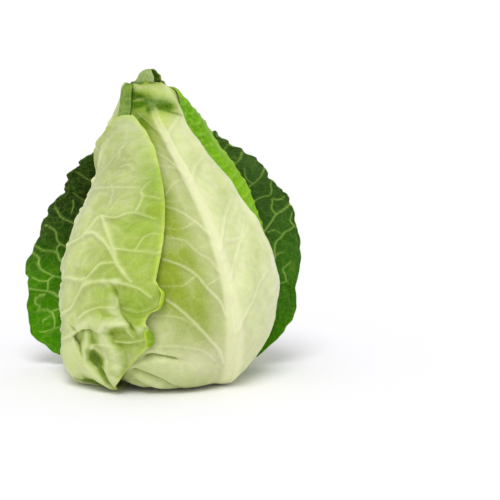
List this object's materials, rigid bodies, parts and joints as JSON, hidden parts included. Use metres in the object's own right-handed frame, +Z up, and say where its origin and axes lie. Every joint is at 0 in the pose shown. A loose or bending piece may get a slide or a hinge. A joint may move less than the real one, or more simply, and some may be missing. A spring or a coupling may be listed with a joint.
{
  "type": "pointed cabbage",
  "caption": "Whole pointed cabbage standing on its cut stem: a dense cone-shaped head in veined wrapper leaves, with loose dark green outer leaves behind it.",
  "frame": {"origin": "centre of the stem's cut face, which the cabbage stands on", "axes": "+Z up from the cut stem towards the head's point, +X to the right seen from the front, and the front, with the smooth wrapper leaves, faces -Y"},
  "size_m": [0.203, 0.1709, 0.2235],
  "materials": {
    "stem_and_core": "fibrous cut stem, pale and dry at the cut",
    "packed_head": "tightly packed pale inner leaves, waxy",
    "wrapper_leaf_back": "pale green waxy leaf with raised veins",
    "wrapper_leaf_right": "bright green waxy leaf with paler veins",
    "wrapper_leaf_front": "cream to pale green waxy leaf with a thick pale midrib",
    "wrapper_leaf_left": "green waxy leaf that is paler where it curls over the tip",
    "wrapper_leaf_front_left": "pale yellow-green waxy leaf with raised veins and buckled folds at its base",
    "outer_leaf_right": "dark green waxy leaf with a pale vein network and wavy edges",
    "outer_leaf_left": "dark green waxy leaf with a pale vein network and wavy edges"
  },
  "bodies": {
    "root": {"stem_and_core": "stem_and_core", "packed_head": "packed_head", "wrapper_leaf_back": "wrapper_leaf_back", "wrapper_leaf_right": "wrapper_leaf_right", "wrapper_leaf_front": "wrapper_leaf_front", "wrapper_leaf_left": "wrapper_leaf_left", "wrapper_leaf_front_left": "wrapper_leaf_front_left", "outer_leaf_right": "outer_leaf_right", "outer_leaf_left": "outer_leaf_left"}
  },
  "joints": []
}
